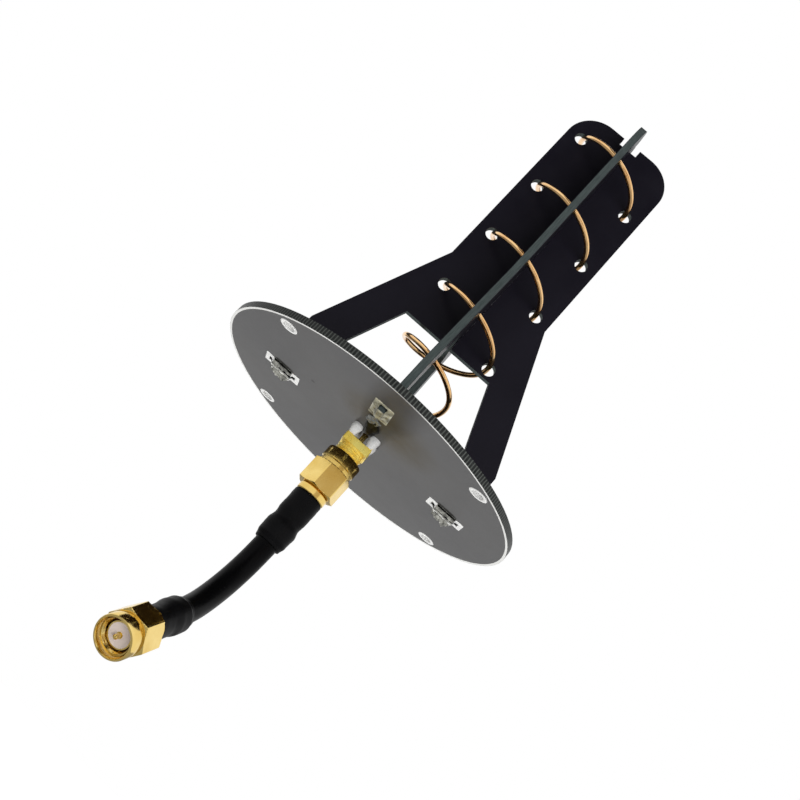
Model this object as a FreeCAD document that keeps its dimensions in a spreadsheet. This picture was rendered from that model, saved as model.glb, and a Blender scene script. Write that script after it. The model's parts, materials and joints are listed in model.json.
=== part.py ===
import FreeCAD, Part
import math
import os
import re
import Sketcher
from FreeCAD import Placement, Rotation, Vector

# Helical antenna with a screw-on coaxial pigtail, in millimetres.
# The origin is the centre of the reflector's front face and +Z runs up the helix axis.

doc = FreeCAD.newDocument("HelicalAntenna")
sheet = doc.addObject("Spreadsheet::Sheet", "Dimensions")

sizes = {
    # reflector disc
    "disc_diameter": 74.0,
    "disc_thickness": 1.6,
    "mount_margin": 3.41,
    "mount_hole": 2.7,
    "slot_centre": 22.3,
    "slot_length": 6.2,
    "slot_width": 1.8,
    # blades
    "board_thickness": 1.6,
    "blade_width": 26.5,
    "wide_height": 94.0,
    "wide_corner": 7.5,
    "cross_height": 95.2,
    "cross_corner": 9.5,
    "shoulder_height": 43.5,
    "foot_height": 11.0,
    "foot_outside": 25.5,
    "foot_inside": 17.3,
    "window_knee": 10.5,
    "window_height": 26.1,
    "window_width": 23.1,
    "notch_width": 4.7,
    "notch_depth": 2.0,
    "lap_height": 60.6,
    "lap_clearance": 0.05,
    "tab_length": 5.0,
    "tab_stickout": 0.8,
    # helix
    "helix_pitch": 16.64,
    "helix_hole": 3.0,
    "hole_margin": 3.65,
    "top_hole": 86.5,
    "wire_diameter": 1.2,
    "wire_pitch": 16.72,
    "wire_rise": 0.48,
    "wire_inset": 0.21,
    "free_inset": 1.0,
    "free_pitch": 13.0,
    # solder
    "pad_length": 9.0,
    "pad_width": 4.6,
    "pad_solder": 0.35,
    "cone_height": 1.9,
    "cone_foot": 2.7,
    "cone_top": 1.6,
    "feed_foot": 3.2,
    "feed_height": 2.4,
    # jack
    "jack_offset": 4.0,
    "jack_standoff": 2.5,
    "flange_side": 6.35,
    "flange_thickness": 1.7,
    "barrel_diameter": 5.95,
    "barrel_length": 6.1,
    "barrel_relief": 0.6,
    "relief_depth": 0.3,
    "socket_depth": 1.9,
    "leg_side": 1.0,
    "leg_spacing": 5.08,
    "leg_hole": 1.6,
    "leg_tail": 1.0,
    "contact_diameter": 1.9,
    "contact_depth": 2.6,
    "contact_step": 1.5,
    "contact_tail": 1.0,
    "tail_hole": 1.5,
    # plugs
    "insulator_diameter": 4.4,
    "shell_wall": 0.25,
    "shell_recess": 2.0,
    "fit_clearance": 0.05,
    "pin_diameter": 0.92,
    "pin_recess": 0.5,
    "pin_seat": 1.27,
    "gasket_thickness": 0.6,
    "shoulder_length": 1.3,
    "ring_thickness": 0.5,
    "ring_slack": 0.05,
    "ring_depth": 0.45,
    "ring_height": 0.85,
    "ring_room": 0.25,
    "body_diameter": 5.5,
    "collar_diameter": 6.6,
    "collar_length": 1.75,
    "collar_chamfer": 0.3,
    "neck_length": 6.5,
    "neck_diameter": 5.1,
    "core_diameter": 2.9,
    "ferrule_wall": 0.3,
    # coupling nuts
    "nut_front_diameter": 7.86,
    "nut_front_length": 3.5,
    "nut_neck_length": 1.1,
    "nut_neck_depth": 0.22,
    "nut_hex": 8.0,
    "nut_hex_length": 5.7,
    "nut_chamfer": 0.3,
    "hex_chamfer": 0.45,
    "mouth_diameter": 7.0,
    "mouth_chamfer": 0.5,
    "mouth_bore": 6.4,
    "mouth_depth": 1.3,
    "nut_turn": 14.7,
    # cable and sleeves
    "cable_diameter": 5.0,
    "sleeve_front": 6.5,
    "sleeve_waist": 6.15,
    "sleeve_bulge": 6.9,
    "sleeve_lip": 6.0,
    "near_sleeve": 12.4,
    "far_sleeve": 10.3,
    "lip_flare": 0.15,
    "lip_depth": 1.6,
}
for row, (alias, number) in enumerate(sizes.items(), start=1):
    sheet.set("A%d" % row, alias)
    sheet.set("B%d" % row, str(number))
    sheet.setAlias("B%d" % row, alias)
doc.recompute()

parts = []      # every finished piece, in the order it is written


def size(alias):
    """The number that the sheet holds under this name."""
    return float(sheet.get(alias))


def formula(text):
    """An expression on the sheet's names, such as "disc_diameter / 2"."""
    return re.sub(r"[a-z]\w+\b(?!\()", lambda found: "Dimensions." + found.group(0), text)


def bind(thing, prop, text):
    thing.setExpression(prop, formula(text))


def newBody(label):
    body = doc.addObject("PartDesign::Body", label)
    body.Label = label
    parts.append(body)
    return body


def newSketch(body, name, plane, lift=None):
    sketch = body.newObject("Sketcher::SketchObject", name)
    origin = [item for item in body.Origin.OriginFeatures if item.Role == plane][0]
    sketch.AttachmentSupport = (origin, [""])
    sketch.MapMode = "FlatFace"
    if lift:
        bind(sketch, "AttachmentOffset.Base.z", lift)
    return sketch


def pinPoint(sketch, element, point, x, y):
    """Holds one point of the sketch at the place that two formulas give."""
    for kind, text, axis in (("DistanceX", x, -2), ("DistanceY", y, -1)):
        if text == "0":
            sketch.addConstraint(Sketcher.Constraint("PointOnObject", element, point, axis))
            continue
        index = sketch.addConstraint(Sketcher.Constraint(kind, -1, 1, element, point, 1.0))
        bind(sketch, "Constraints[%d]" % index, text)


def addOutline(sketch, corners):
    """A closed polygon whose corners are pairs of formulas."""
    first = sketch.GeometryCount
    count = len(corners)
    spread = 20.0 + 5.0 * first
    ring = [Vector(spread * math.cos(math.tau * n / count), spread * math.sin(math.tau * n / count), 0)
            for n in range(count)]
    lines = [Part.LineSegment(ring[n], ring[(n + 1) % count]) for n in range(count)]
    sketch.addGeometry(lines, False)
    sketch.addConstraint([Sketcher.Constraint("Coincident", first + n, 2, first + (n + 1) % count, 1)
                          for n in range(count)])
    for n, (x, y) in enumerate(corners):
        pinPoint(sketch, first + n, 1, x, y)


def addCircle(sketch, x, y, diameter):
    index = sketch.addGeometry(Part.Circle(Vector(1, 1, 0), Vector(0, 0, 1), 1.0), False)
    pinPoint(sketch, index, 3, x, y)
    width = sketch.addConstraint(Sketcher.Constraint("Diameter", index, 2.0))
    bind(sketch, "Constraints[%d]" % width, diameter)


def pad(body, sketch, length, reverse=False, both=False):
    feature = body.newObject("PartDesign::Pad", "Pad")
    feature.Profile = sketch
    bind(feature, "Length", length)
    feature.Reversed = reverse
    if both:
        feature.SideType = "Symmetric"
    return feature


def pocketThrough(body, sketch):
    feature = body.newObject("PartDesign::Pocket", "Pocket")
    feature.Profile = sketch
    feature.Type = "ThroughAll"
    feature.SideType = "Symmetric"
    return feature


def turn(body, corners, kind="PartDesign::Revolution", angle=360.0):
    """Revolves a half section of (radius, height) formulas about the body's Z axis."""
    sketch = newSketch(body, "HalfSection", "XZ_Plane")
    addOutline(sketch, corners)
    feature = body.newObject(kind, "Turned")
    feature.Profile = sketch
    feature.ReferenceAxis = (sketch, ["V_Axis"])
    feature.Angle = angle
    return feature


# Reflector disc: a round board with slots for the blades' tabs, holes for the jack and four
# mounting holes. Its front face is the plane z = 0.

def groundPlane():
    body = newBody("ground_plane")
    face = newSketch(body, "Face", "XY_Plane")
    addCircle(face, "0", "0", "disc_diameter")
    pad(body, face, "disc_thickness", reverse=True)

    milled = newSketch(body, "Slots", "XY_Plane")
    ends = newSketch(body, "SlotEnds", "XY_Plane")
    straight = "(slot_length - slot_width) / 2"
    for sign in ("-", ""):
        for x, y in (("u", "v"), ("v", "u")):
            corners = []
            for along, across in (("-", "-"), ("+", "-"), ("+", "+"), ("-", "+")):
                place = {"u": "%s(slot_centre %s %s)" % (sign, along, straight),
                         "v": "%s(slot_width / 2)" % ("-" if across == "-" else "")}
                corners.append((place[x], place[y]))
            addOutline(milled, corners)
            for along in ("-", "+"):
                place = {"u": "%s(slot_centre %s %s)" % (sign, along, straight), "v": "0"}
                addCircle(ends, place[x], place[y], "slot_width")
    pocketThrough(body, milled)
    pocketThrough(body, ends)

    drilled = newSketch(body, "Holes", "XY_Plane")
    mountPlace = "(disc_diameter / 2 - mount_margin) / sqrt(2)"
    for signX in ("-", ""):
        for signY in ("-", "+"):
            addCircle(drilled, signX + mountPlace, "0 %s %s" % (signY, mountPlace), "mount_hole")
            addCircle(drilled, signX + "leg_spacing / 2", "-jack_offset %s leg_spacing / 2" % signY,
                      "leg_hole")
    addCircle(drilled, "0", "-jack_offset", "tail_hole")
    pocketThrough(body, drilled)


# Blades: two crossed boards with the same outline. Each stands on two feet whose tabs pass
# through the disc, is open between its feet, and carries the wire in a row of holes.

def blade(label, plane, height, corner, lapFrom, lapTo, notched, leftHoles, rightHoles):
    body = newBody(label)
    outline = newSketch(body, "Outline", plane)
    tabBottom = "-(disc_thickness + tab_stickout)"
    rightSide = [
        ("window_width / 2", "window_height"),
        ("foot_inside", "window_knee"),
        ("foot_inside", "0"),
        ("slot_centre - tab_length / 2", "0"),
        ("slot_centre - tab_length / 2", tabBottom),
        ("slot_centre + tab_length / 2", tabBottom),
        ("slot_centre + tab_length / 2", "0"),
        ("foot_outside", "0"),
        ("foot_outside", "foot_height"),
        ("blade_width / 2", "shoulder_height"),
        ("blade_width / 2", height),
    ]
    if notched:
        rightSide += [("notch_width / 2", height), ("notch_width / 2", height + " - notch_depth")]
    leftSide = [("-(" + x + ")", y) for x, y in reversed(rightSide)]
    addOutline(outline, rightSide + leftSide)
    pad(body, outline, "board_thickness", both=True)
    doc.recompute()

    board = body.Tip
    rounded = body.newObject("PartDesign::Fillet", "TipCorners")
    top = size(height)
    edges = ["Edge%d" % (n + 1) for n, edge in enumerate(board.Shape.Edges)
             if abs(edge.CenterOfMass.z - top) < 0.01
             and abs(edge.Length - size("board_thickness")) < 0.01
             and abs(edge.CenterOfMass.Length ** 2 - top ** 2 - (size("blade_width") / 2) ** 2) < 0.1]
    rounded.Base = (board, edges)
    bind(rounded, "Radius", corner)

    lap = newSketch(body, "HalfLap", plane)
    lapSide = "board_thickness / 2 + lap_clearance"
    addOutline(lap, [("-(" + lapSide + ")", lapFrom), (lapSide, lapFrom),
                     (lapSide, lapTo), ("-(" + lapSide + ")", lapTo)])
    pocketThrough(body, lap)

    holes = newSketch(body, "HelixHoles", plane)
    for side, first, count in (("-", leftHoles[0], leftHoles[1]), ("", rightHoles[0], rightHoles[1])):
        for n in range(count):
            addCircle(holes, side + "(blade_width / 2 - hole_margin)",
                      "top_hole - helix_pitch * %g" % (first + n), "helix_hole")
    pocketThrough(body, holes)


# Paths for the wire and the cable: straight runs joined by tangent arcs.

def addRun(edges, start, end):
    if start.distanceToPoint(end) > 0.001:
        edges.append(Part.LineSegment(start, end).toShape())


def tangentPath(points, share):
    """A wire through the points, each corner rounded by an arc that touches both of its runs."""
    edges = []
    radii = []
    start = points[0]
    for before, corner, after in zip(points, points[1:], points[2:]):
        arriving = (corner - before).normalize()
        leaving = (after - corner).normalize()
        angle = arriving.getAngle(leaving)
        reach = share * min(corner.distanceToPoint(before), corner.distanceToPoint(after))
        radius = reach / math.tan(angle / 2)
        inward = (leaving - arriving).normalize()
        centre = corner + inward * (radius / math.cos(angle / 2))
        first = corner - arriving * reach
        last = corner + leaving * reach
        middle = centre + (corner - centre).normalize() * radius
        addRun(edges, start, first)
        edges.append(Part.Arc(first, middle, last).toShape())
        radii.append(radius)
        start = last
    addRun(edges, start, points[-1])
    return Part.Wire(edges), radii


def tube(label, points, diameter, share=0.45):
    """A round rod along the points, as a sweep of a circle. Each arc takes that share of a run."""
    path, radii = tangentPath(points, share)
    across = (points[1] - points[0]).normalize()
    circle = Part.Wire(Part.Circle(points[0], across, diameter / 2).toShape())
    solid = path.makePipeShell([circle], True, False)
    piece = doc.addObject("Part::Feature", label)
    piece.Label = label
    piece.Shape = solid
    piece.Placement = Placement()
    parts.append(piece)
    section = math.pi * diameter ** 2 / 4
    print("%s: length %.1f, volume over section times length %.4f, radii %s"
          % (label, path.Length, solid.Volume / (section * path.Length),
             [round(radius, 1) for radius in radii[-9:]]))
    return piece


# Helix wire: a left-handed helix from its free tip, through the blades' holes, then one tighter
# free turn below the last hole and a lead that curls down to the jack's centre contact.

def helixWire():
    step = 45                       # degrees between corners, so each run crosses a blade midway
    lastHole = 1260                 # degrees from the tip to the last hole
    leadStart = 1642.5              # degrees where the lead leaves the free turn
    woundRadius = size("blade_width") / 2 - size("hole_margin") - size("wire_inset")
    toCorner = 1 / math.cos(math.radians(step / 2))
    points = []
    angle = -step / 2
    while angle <= leadStart:
        drop = size("wire_pitch") * min(angle, lastHole) / 360
        radius = woundRadius
        if angle > lastHole:
            drop += size("free_pitch") * (angle - lastHole) / 360
            radius -= size("free_inset") * min(1.0, (angle - lastHole) / 180)
        turned = math.radians(angle)
        points.append(Vector(-radius * toCorner * math.cos(turned), -radius * toCorner * math.sin(turned),
                             size("top_hole") + size("wire_rise") - drop))
        angle += step

    # Each lead point turns on from the free turn's end, moves in and falls towards the feed.
    end = points[-1]
    feed = Vector(0, -size("jack_offset"), size("contact_tail"))
    above = feed + Vector(0, size("jack_offset") * 0.45, size("feed_height") * 2.1)
    for degrees, inward, fall in ((30, 0.88, 0.31), (51, 0.57, 0.59), (64, 0.19, 0.78)):
        point = Rotation(Vector(0, 0, 1), degrees).multVec(Vector(end.x, end.y, 0)) * inward
        points.append(point + Vector(0, 0, end.z - (end.z - above.z) * fall))
    points += [above, feed + Vector(0, 0, size("feed_height") * 1.3), feed]
    return tube("helix_wire", points, size("wire_diameter"), 0.5)


# Solder: a frame round each tab, a cone on each of the jack's legs and a drop at the feed.

def tabSolder(number, angle):
    frame = doc.addObject("Part::Box", "Frame%d" % number)
    bind(frame, "Length", "pad_length")
    bind(frame, "Width", "pad_width")
    bind(frame, "Height", "pad_solder")
    bind(frame, "Placement.Base.x", "slot_centre - pad_length / 2")
    bind(frame, "Placement.Base.y", "-pad_width / 2")
    bind(frame, "Placement.Base.z", "-(disc_thickness + pad_solder)")
    opening = doc.addObject("Part::Box", "Opening%d" % number)
    bind(opening, "Length", "slot_length")
    bind(opening, "Width", "board_thickness")
    bind(opening, "Height", "pad_solder * 3")
    bind(opening, "Placement.Base.x", "slot_centre - slot_length / 2")
    bind(opening, "Placement.Base.y", "-board_thickness / 2")
    bind(opening, "Placement.Base.z", "-(disc_thickness + pad_solder * 2)")
    solder = doc.addObject("Part::Cut", "tab_solder_%d" % number)
    solder.Base = frame
    solder.Tool = opening
    solder.Placement = Placement(Vector(), Rotation(Vector(0, 0, 1), angle))
    solder.Label = "tab_solder_%d" % number
    parts.append(solder)


def legSolder(number, signX, signY):
    centreX = "%sleg_spacing / 2" % signX
    centreY = "-jack_offset %s leg_spacing / 2" % signY
    cone = doc.addObject("Part::Cone", "Cone%d" % number)
    bind(cone, "Radius1", "cone_top / 2")
    bind(cone, "Radius2", "cone_foot / 2")
    bind(cone, "Height", "cone_height")
    bind(cone, "Placement.Base.x", centreX)
    bind(cone, "Placement.Base.y", centreY)
    bind(cone, "Placement.Base.z", "-(disc_thickness + cone_height)")
    leg = doc.addObject("Part::Box", "Leg%d" % number)
    bind(leg, "Length", "leg_side")
    bind(leg, "Width", "leg_side")
    bind(leg, "Height", "cone_height * 3")
    bind(leg, "Placement.Base.x", centreX + " - leg_side / 2")
    bind(leg, "Placement.Base.y", centreY + " - leg_side / 2")
    bind(leg, "Placement.Base.z", "-(disc_thickness + cone_height * 2)")
    solder = doc.addObject("Part::Cut", "leg_solder_%d" % number)
    solder.Base = cone
    solder.Tool = leg
    solder.Label = "leg_solder_%d" % number
    parts.append(solder)


def feedSolder():
    body = newBody("feed_solder")
    turn(body, [
        ("wire_diameter / 2", "0"),
        ("feed_foot / 2", "0"),
        ("feed_foot / 2 - 0.15", "feed_height * 0.2"),
        ("feed_foot * 0.32", "feed_height * 0.55"),
        ("wire_diameter / 2 + 0.15", "feed_height"),
        ("wire_diameter / 2", "feed_height"),
    ])
    bind(body, "Placement.Base.y", "-jack_offset")


# Jack: modelled with Z pointing away from the disc's back face, then turned over.

flangeTop = "(jack_standoff + flange_thickness)"
jackFace = "(jack_standoff + flange_thickness + barrel_length)"
socketFloor = "(jack_standoff + flange_thickness + barrel_length - socket_depth)"
shellDiameter = "(insulator_diameter + shell_wall * 2)"
frontSide = "-(disc_thickness + contact_tail)"


def placeOnDisc(body):
    body.Placement = Placement(Vector(), Rotation(Vector(1, 0, 0), 180))
    bind(body, "Placement.Base.y", "-jack_offset")
    bind(body, "Placement.Base.z", "-disc_thickness")


def square(sketch, x, y, side):
    corners = []
    for signX, signY in (("-", "-"), ("+", "-"), ("+", "+"), ("-", "+")):
        corners.append(("%s %s %s / 2" % (x, signX, side), "%s %s %s / 2" % (y, signY, side)))
    addOutline(sketch, corners)


def jackBody():
    body = newBody("jack_body")
    flange = newSketch(body, "Flange", "XY_Plane", "jack_standoff")
    square(flange, "0", "0", "flange_side")
    pad(body, flange, "flange_thickness")
    turn(body, [
        ("0", flangeTop),
        ("barrel_diameter / 2 - relief_depth", flangeTop),
        ("barrel_diameter / 2 - relief_depth", flangeTop + " + barrel_relief"),
        ("barrel_diameter / 2", flangeTop + " + barrel_relief + relief_depth"),
        ("barrel_diameter / 2", jackFace + " - relief_depth"),
        ("barrel_diameter / 2 - relief_depth", jackFace),
        ("0", jackFace),
    ])
    legs = newSketch(body, "Legs", "XY_Plane", "-(disc_thickness + leg_tail)")
    for signX in ("-", "+"):
        for signY in ("-", "+"):
            square(legs, "0 %s leg_spacing / 2" % signX, "0 %s leg_spacing / 2" % signY, "leg_side")
    pad(body, legs, "disc_thickness + leg_tail + jack_standoff")
    socket = shellDiameter + " / 2 + fit_clearance"
    turn(body, [
        ("0", "jack_standoff - 1"),
        ("insulator_diameter / 2", "jack_standoff - 1"),
        ("insulator_diameter / 2", socketFloor),
        (socket, socketFloor),
        (socket, jackFace + " + 1"),
        ("0", jackFace + " + 1"),
    ], "PartDesign::Groove")
    placeOnDisc(body)


def jackInsides():
    stepUp = "jack_standoff + contact_step"
    insulator = newBody("jack_insulator")
    turn(insulator, [
        ("wire_diameter / 2", "jack_standoff"),
        ("insulator_diameter / 2", "jack_standoff"),
        ("insulator_diameter / 2", socketFloor),
        ("contact_diameter / 2", socketFloor),
        ("contact_diameter / 2", stepUp),
        ("wire_diameter / 2", stepUp),
    ])
    placeOnDisc(insulator)

    contact = newBody("jack_contact")
    socket = "pin_diameter / 2 + fit_clearance"
    turn(contact, [
        ("0", frontSide),
        ("wire_diameter / 2", frontSide),
        ("wire_diameter / 2", stepUp),
        ("contact_diameter / 2", stepUp),
        ("contact_diameter / 2", socketFloor),
        (socket, socketFloor),
        (socket, socketFloor + " - contact_depth"),
        ("0", socketFloor + " - contact_depth"),
    ])
    placeOnDisc(contact)


# Plugs: each piece is a half section in the plug's own frame. Its origin is the centre of the
# nut's mouth and its Z axis runs back towards the cable.

nutLength = "(nut_front_length + nut_hex_length)"
gasketFront = "(shell_recess + socket_depth)"
shoulderFront = "(shell_recess + socket_depth + gasket_thickness)"
ringFront = "(shell_recess + socket_depth + gasket_thickness + shoulder_length)"
ringBack = "(" + ringFront + " + ring_thickness + ring_slack * 2)"
collarFront = "(" + nutLength + " + fit_clearance)"
neckFront = "(" + nutLength + " + fit_clearance + collar_length)"
neckBack = "(" + neckFront + " + neck_length)"
threadRadius = "(barrel_diameter / 2 + fit_clearance)"
ringSeat = "(body_diameter / 2 - ring_depth + 0.2)"


def couplingNut(label, place):
    body = newBody(label)
    hexagon = newSketch(body, "Hexagon", "XY_Plane", "nut_front_length")
    reach = 1 / math.sqrt(3)        # centre to corner, over the width across flats
    corners = []
    for n in range(6):
        turned = math.radians(60 * n + 30)
        corners.append(("nut_hex * %.9f" % (reach * math.cos(turned)) if n not in (1, 4) else "0",
                        "nut_hex * %.9f" % (reach * math.sin(turned))))
    addOutline(hexagon, corners)
    pad(body, hexagon, "nut_hex_length")
    outside = "nut_hex"
    turn(body, [
        ("nut_hex / 2", "nut_front_length"),
        (outside, "nut_front_length + hex_chamfer * 4"),
        (outside, "nut_front_length - 1"),
        ("nut_hex / 2", "nut_front_length - 1"),
    ], "PartDesign::Groove")
    turn(body, [
        ("nut_hex / 2", nutLength),
        (outside, nutLength + " - hex_chamfer * 4"),
        (outside, nutLength + " + 1"),
        ("nut_hex / 2", nutLength + " + 1"),
    ], "PartDesign::Groove")
    front = "nut_front_diameter / 2"
    turn(body, [
        ("0", "0"),
        (front + " - nut_chamfer", "0"),
        (front, "nut_chamfer"),
        (front, "nut_front_length - nut_neck_length"),
        (front + " - nut_neck_depth", "nut_front_length - nut_neck_length + nut_neck_depth"),
        (front + " - nut_neck_depth", "nut_front_length + 0.2"),
        ("0", "nut_front_length + 0.2"),
    ])
    rearBore = "body_diameter / 2 + fit_clearance"
    ringRoom = ringSeat + " + ring_height + ring_slack * 2"
    turn(body, [
        ("0", "-1"),
        ("mouth_diameter / 2", "-1"),
        ("mouth_diameter / 2", "0 - 0.001"),
        ("mouth_bore / 2", "mouth_chamfer"),
        ("mouth_bore / 2", "mouth_depth"),
        (threadRadius, "mouth_depth"),
        (threadRadius, ringFront + " - ring_room"),
        (ringRoom, ringFront + " - ring_room"),
        (ringRoom, ringBack + " + ring_room"),
        (rearBore, ringBack + " + ring_room"),
        (rearBore, nutLength + " + 1"),
        ("0", nutLength + " + 1"),
    ], "PartDesign::Groove")
    body.Placement = place


def plugInsides(prefix, place):
    body = newBody(prefix + "_plug_body")
    shoulder = threadRadius + " - fit_clearance * 2"
    turn(body, [
        ("insulator_diameter / 2", "shell_recess"),
        (shellDiameter + " / 2", "shell_recess"),
        (shellDiameter + " / 2", shoulderFront),
        (shoulder, shoulderFront),
        (shoulder, ringFront),
        (ringSeat, ringFront),
        (ringSeat, ringBack),
        ("body_diameter / 2", ringBack),
        ("body_diameter / 2", collarFront),
        ("collar_diameter / 2 - collar_chamfer", collarFront),
        ("collar_diameter / 2", collarFront + " + collar_chamfer"),
        ("collar_diameter / 2", neckFront + " - collar_chamfer"),
        ("collar_diameter / 2 - collar_chamfer", neckFront),
        ("neck_diameter / 2", neckFront),
        ("neck_diameter / 2", neckBack),
        ("core_diameter / 2 + fit_clearance", neckBack),
        ("core_diameter / 2 + fit_clearance", neckFront),
        ("insulator_diameter / 2", neckFront),
    ])
    body.Placement = place

    ring = newBody(prefix + "_retaining_ring")
    turn(ring, [
        (ringSeat, ringFront + " + ring_slack"),
        (ringSeat + " + ring_height", ringFront + " + ring_slack"),
        (ringSeat + " + ring_height", ringBack + " - ring_slack"),
        (ringSeat, ringBack + " - ring_slack"),
    ], angle=325.0)
    ring.Placement = place

    gasket = newBody(prefix + "_gasket")
    turn(gasket, [
        (shellDiameter + " / 2", gasketFront),
        (shoulder, gasketFront),
        (shoulder, shoulderFront),
        (shellDiameter + " / 2", shoulderFront),
    ])
    gasket.Placement = place

    insulator = newBody(prefix + "_insulator")
    turn(insulator, [
        ("pin_seat / 2", "shell_recess"),
        ("insulator_diameter / 2", "shell_recess"),
        ("insulator_diameter / 2", neckFront),
        ("pin_seat / 2", neckFront),
    ])
    insulator.Placement = place

    pin = newBody(prefix + "_centre_pin")
    turn(pin, [
        ("0", "pin_recess"),
        ("pin_diameter * 0.25", "pin_recess"),
        ("pin_diameter / 2", "pin_recess + pin_diameter * 0.3"),
        ("pin_diameter / 2", "shell_recess"),
        ("pin_seat / 2", "shell_recess"),
        ("pin_seat / 2", neckFront),
        ("0", neckFront),
    ])
    pin.Placement = place

    core = newBody(prefix + "_cable_core")
    turn(core, [
        ("0", neckFront),
        ("core_diameter / 2", neckFront),
        ("core_diameter / 2", neckBack),
        ("0", neckBack),
    ])
    core.Placement = place

    ferrule = newBody(prefix + "_ferrule")
    turn(ferrule, [
        ("neck_diameter / 2", neckFront),
        ("neck_diameter / 2 + ferrule_wall", neckFront),
        ("neck_diameter / 2 + ferrule_wall", neckBack),
        ("neck_diameter / 2", neckBack),
    ])
    ferrule.Placement = place


def heatShrink(label, place, length, outside):
    """A shrunk sleeve; outside lists the share of the length and the diameter there."""
    body = newBody(label)
    ferrule = "neck_diameter / 2 + ferrule_wall"
    back = "(" + neckFront + " + " + length + ")"
    corners = [(ferrule, neckBack), (ferrule, neckFront)]
    for share, diameter in outside:
        corners.append((diameter + " / 2", "%s + %s * %g" % (neckFront, length, share)))
    corners += [
        ("cable_diameter / 2 + lip_flare", back),
        ("cable_diameter / 2", back + " - lip_depth"),
        ("cable_diameter / 2", neckBack),
    ]
    turn(body, corners)
    body.Placement = place


# Everything in place.

groundPlane()
blade("wide_plate", "XZ_Plane", "wide_height", "wide_corner", "window_height - 1", "lap_height",
      True, (0, 4), (0.5, 4))
blade("cross_plate", "YZ_Plane", "cross_height", "cross_corner", "lap_height", "cross_height + 1",
      False, (0.25, 4), (0.75, 3))
helixWire()
for n in range(4):
    tabSolder(n + 1, 90.0 * n)
feedSolder()
jackBody()
jackInsides()
corners = [(x, y) for x in ("-", "") for y in ("-", "+")]
for n, (signX, signY) in enumerate(corners):
    legSolder(n + 1, signX, signY)

faceDepth = size("jack_standoff") + size("flange_thickness") + size("barrel_length")
mouthDepth = faceDepth - size("socket_depth") - size("shell_recess")
nearMouth = Vector(0, -size("jack_offset"), -size("disc_thickness") - mouthDepth)
nearPlace = Placement(nearMouth, Rotation(Vector(1, 0, 0), 180)
                      * Rotation(Vector(0, 0, 1), -size("nut_turn")))
plugLength = (size("nut_front_length") + size("nut_hex_length") + size("fit_clearance")
              + size("collar_length") + size("neck_length"))

# The cable's route, from the back of the near crimp neck: out of the sleeve, then one bend down
# and back towards the free plug, which lies along the last run.
routeStart = nearMouth - Vector(0, 0, plugLength)
route = [
    Vector(0, 0, 0),
    Vector(0, 0, -8.1),
    Vector(-0.4, -2.4, -15.8),
    Vector(-1.1, -7.1, -22.3),
    Vector(-1.9, -11.7, -26.5),
    Vector(-3.1, -16.4, -29.8),
]
cablePoints = [routeStart + point for point in route]
tube("cable", cablePoints, size("cable_diameter"))

outward = (cablePoints[-1] - cablePoints[-2]).normalize()
farMouth = cablePoints[-1] + outward * plugLength
farPlace = Placement(farMouth, Rotation(Vector(0, 0, 1), outward * -1))

for prefix, place in (("near", nearPlace), ("far", farPlace)):
    couplingNut(prefix + "_coupling_nut", place)
    plugInsides(prefix, place)
heatShrink("near_heat_shrink", nearPlace, "near_sleeve", [
    (0.0, "sleeve_front"), (0.36, "sleeve_front"), (0.52, "sleeve_waist"), (0.66, "sleeve_bulge"),
    (0.86, "(sleeve_bulge - 0.2)"), (1.0, "sleeve_lip")])
heatShrink("far_heat_shrink", farPlace, "far_sleeve", [
    (0.0, "sleeve_waist"), (0.34, "sleeve_waist"), (0.62, "(sleeve_bulge - 0.2)"),
    (0.85, "(sleeve_bulge - 0.2)"), (0.96, "(sleeve_lip - 0.1)"), (1.0, "(sleeve_lip - 0.6)")])

doc.recompute()

for item in doc.Objects:
    if {"Invalid", "Error"} & set(item.State):
        raise RuntimeError("%s failed: %s" % (item.Label, item.State))
for piece in parts:
    shape = piece.Shape
    if shape.isNull() or not shape.isValid() or len(shape.Solids) != 1:
        raise RuntimeError("%s has no valid solid" % piece.Label)

os.makedirs("parts", exist_ok=True)
for piece in parts:
    piece.Shape.exportStep("parts/%s.step" % piece.Label)
print("%d parts written, far mouth %s, outward %s" % (len(parts), farMouth, outward))
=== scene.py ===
import json
import math

import bmesh
import bpy
from mathutils import Matrix, Vector, noise


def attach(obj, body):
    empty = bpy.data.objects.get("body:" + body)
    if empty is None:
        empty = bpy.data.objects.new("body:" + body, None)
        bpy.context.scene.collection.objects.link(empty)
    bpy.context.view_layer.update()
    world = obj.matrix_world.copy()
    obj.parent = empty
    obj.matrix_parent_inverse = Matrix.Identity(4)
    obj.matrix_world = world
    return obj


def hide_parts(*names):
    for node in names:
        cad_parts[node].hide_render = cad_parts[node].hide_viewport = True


mm = 0.001
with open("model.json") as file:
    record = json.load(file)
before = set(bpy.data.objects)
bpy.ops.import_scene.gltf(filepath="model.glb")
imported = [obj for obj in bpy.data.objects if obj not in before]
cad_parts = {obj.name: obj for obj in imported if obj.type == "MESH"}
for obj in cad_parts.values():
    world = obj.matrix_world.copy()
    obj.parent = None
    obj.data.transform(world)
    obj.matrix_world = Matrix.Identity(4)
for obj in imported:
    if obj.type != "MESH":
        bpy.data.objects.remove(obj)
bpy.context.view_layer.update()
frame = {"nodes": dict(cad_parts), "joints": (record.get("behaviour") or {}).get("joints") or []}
nodes = frame["nodes"]
print("frame loaded:", len(nodes), "nodes")

# camera, matched to the photo's view from below the disc

camera = {
    "place": (11.87 * mm, -248.67 * mm, -75.19 * mm),
    "right": (0.74326, -0.14338, 0.65346),
    "down": (0.65831, 0.33071, -0.67621),
    "forward": (-0.11915, 0.93278, 0.34019),
    "lens": 56.7,
    "sensor": 36,
    "shift": (0.06875, -0.10),
}


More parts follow.
